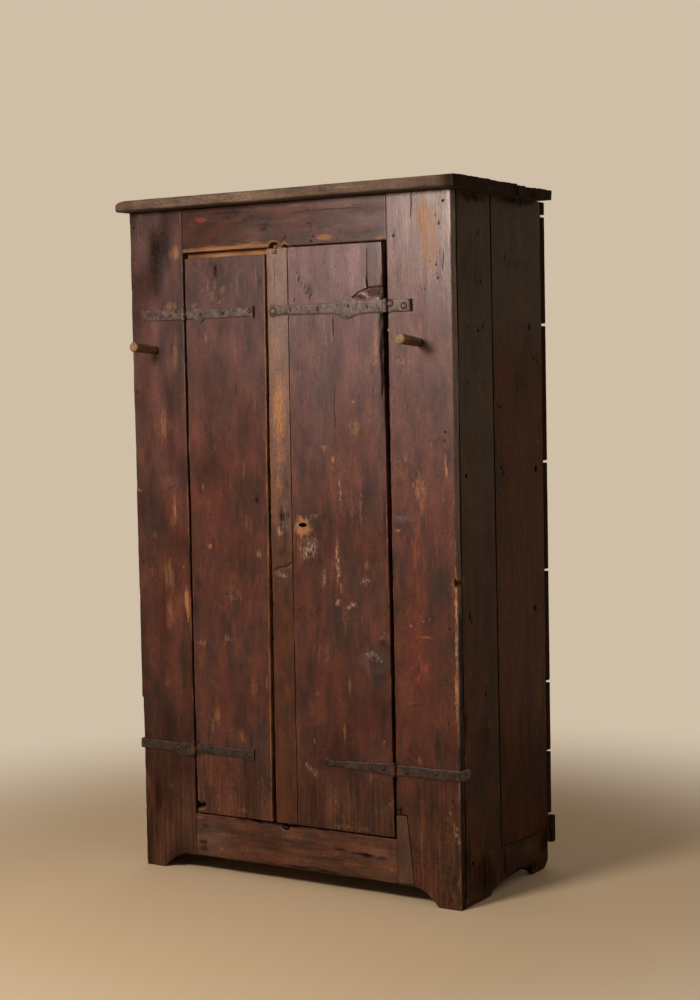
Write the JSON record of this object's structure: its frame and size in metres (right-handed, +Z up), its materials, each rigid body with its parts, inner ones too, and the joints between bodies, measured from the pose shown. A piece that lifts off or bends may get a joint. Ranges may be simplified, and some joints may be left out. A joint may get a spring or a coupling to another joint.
{
  "type": "bonnetiere cabinet",
  "caption": "Tall narrow plank linen cupboard with two unequal strap-hinged leaves, scrolled feet, overhanging top and hanging pegs on its front",
  "frame": {"origin": "middle of the bounding box's footprint, at floor level", "axes": "+X to the viewer's right across the front, +Y from the front to the back, +Z up"},
  "size_m": [0.945, 0.5524, 1.643],
  "materials": {
    "stained_pine": "old dark red-brown stain, waxed and rubbed, scratched and faded to lilac grey near the top",
    "worn_pine": "the same stain worn back to orange-brown wood",
    "side_pine": "dull dark olive-brown stain",
    "top_pine": "weathered grey-brown, unfinished",
    "raw_pine": "bare aged pine",
    "patch_wood": "dark replacement wood, little worn",
    "peg_wood": "whittled hardwood, polished by use",
    "forged_iron": "hand-forged iron, dark brown with rust",
    "lock_iron": "sheet and bar iron, dark and lightly rusted"
  },
  "bodies": {
    "carcass": {"stile_left": "stained_pine", "stile_right": "stained_pine", "stile_right_patch": "patch_wood", "top_rail": "stained_pine", "bottom_rail": "worn_pine", "side_left_front_board": "side_pine", "side_left_rear_board": "side_pine", "side_right_front_board": "side_pine", "side_right_rear_board": "side_pine", "side_right_foot_board": "side_pine", "top_front_board": "top_pine", "top_rear_board": "top_pine", "back_plank_1": "raw_pine", "back_plank_2": "raw_pine", "back_plank_3": "raw_pine", "back_plank_4": "raw_pine", "back_plank_5": "raw_pine", "back_plank_6": "raw_pine", "back_plank_7": "raw_pine", "back_plank_8": "raw_pine", "floor_front_board": "raw_pine", "floor_rear_board": "raw_pine", "floor_cleat_left": "raw_pine", "floor_cleat_right": "raw_pine", "shelf_1": "raw_pine", "shelf_1_cleat_left": "raw_pine", "shelf_1_cleat_right": "raw_pine", "shelf_2": "raw_pine", "shelf_2_cleat_left": "raw_pine", "shelf_2_cleat_right": "raw_pine", "shelf_3": "raw_pine", "shelf_3_cleat_left": "raw_pine", "shelf_3_cleat_right": "raw_pine", "stop_batten": "raw_pine", "peg_left": "peg_wood", "peg_right": "peg_wood", "hinge_plate_upper_left": "forged_iron", "hinge_plate_upper_right": "forged_iron", "hinge_plate_lower_left": "forged_iron", "hinge_plate_lower_right": "forged_iron", "hinge_pin_upper_left": "forged_iron", "hinge_pin_upper_right": "forged_iron", "hinge_pin_lower_left": "forged_iron", "hinge_pin_lower_right": "forged_iron"},
    "left_leaf": {"left_leaf_board": "stained_pine", "left_leaf_ledge_upper": "raw_pine", "left_leaf_ledge_lower": "raw_pine", "strap_upper_left": "forged_iron", "strap_lower_left": "forged_iron", "shoot_bolt_plate": "lock_iron", "lock_keeper": "lock_iron"},
    "right_leaf": {"right_leaf_narrow_board": "worn_pine", "right_leaf_wide_board": "stained_pine", "right_leaf_ledge_upper": "raw_pine", "right_leaf_ledge_lower": "raw_pine", "strap_upper_right": "forged_iron", "strap_lower_right": "forged_iron", "lock_case": "lock_iron"},
    "lock_bolt": {"lock_bolt": "lock_iron"},
    "shoot_bolt": {"shoot_bolt": "lock_iron"}
  },
  "joints": [
    {"name": "left_leaf_hinge", "type": "hinge", "parent": "carcass", "child": "left_leaf", "pos_m": [-0.304, -0.19408, 0.8355], "axis": [0, 0, -1], "range_deg": [0, 120]},
    {"name": "right_leaf_hinge", "type": "hinge", "parent": "carcass", "child": "right_leaf", "pos_m": [0.264, -0.19408, 0.8355], "axis": [0, 0, 1], "range_deg": [0, 120]},
    {"name": "lock_bolt_slide", "type": "slide", "parent": "right_leaf", "child": "lock_bolt", "axis": [-1, 0, 0], "range_m": [0, 0.03]},
    {"name": "shoot_bolt_slide", "type": "slide", "parent": "left_leaf", "child": "shoot_bolt", "axis": [0, 0, 1], "range_m": [0, 0.018]}
  ]
}
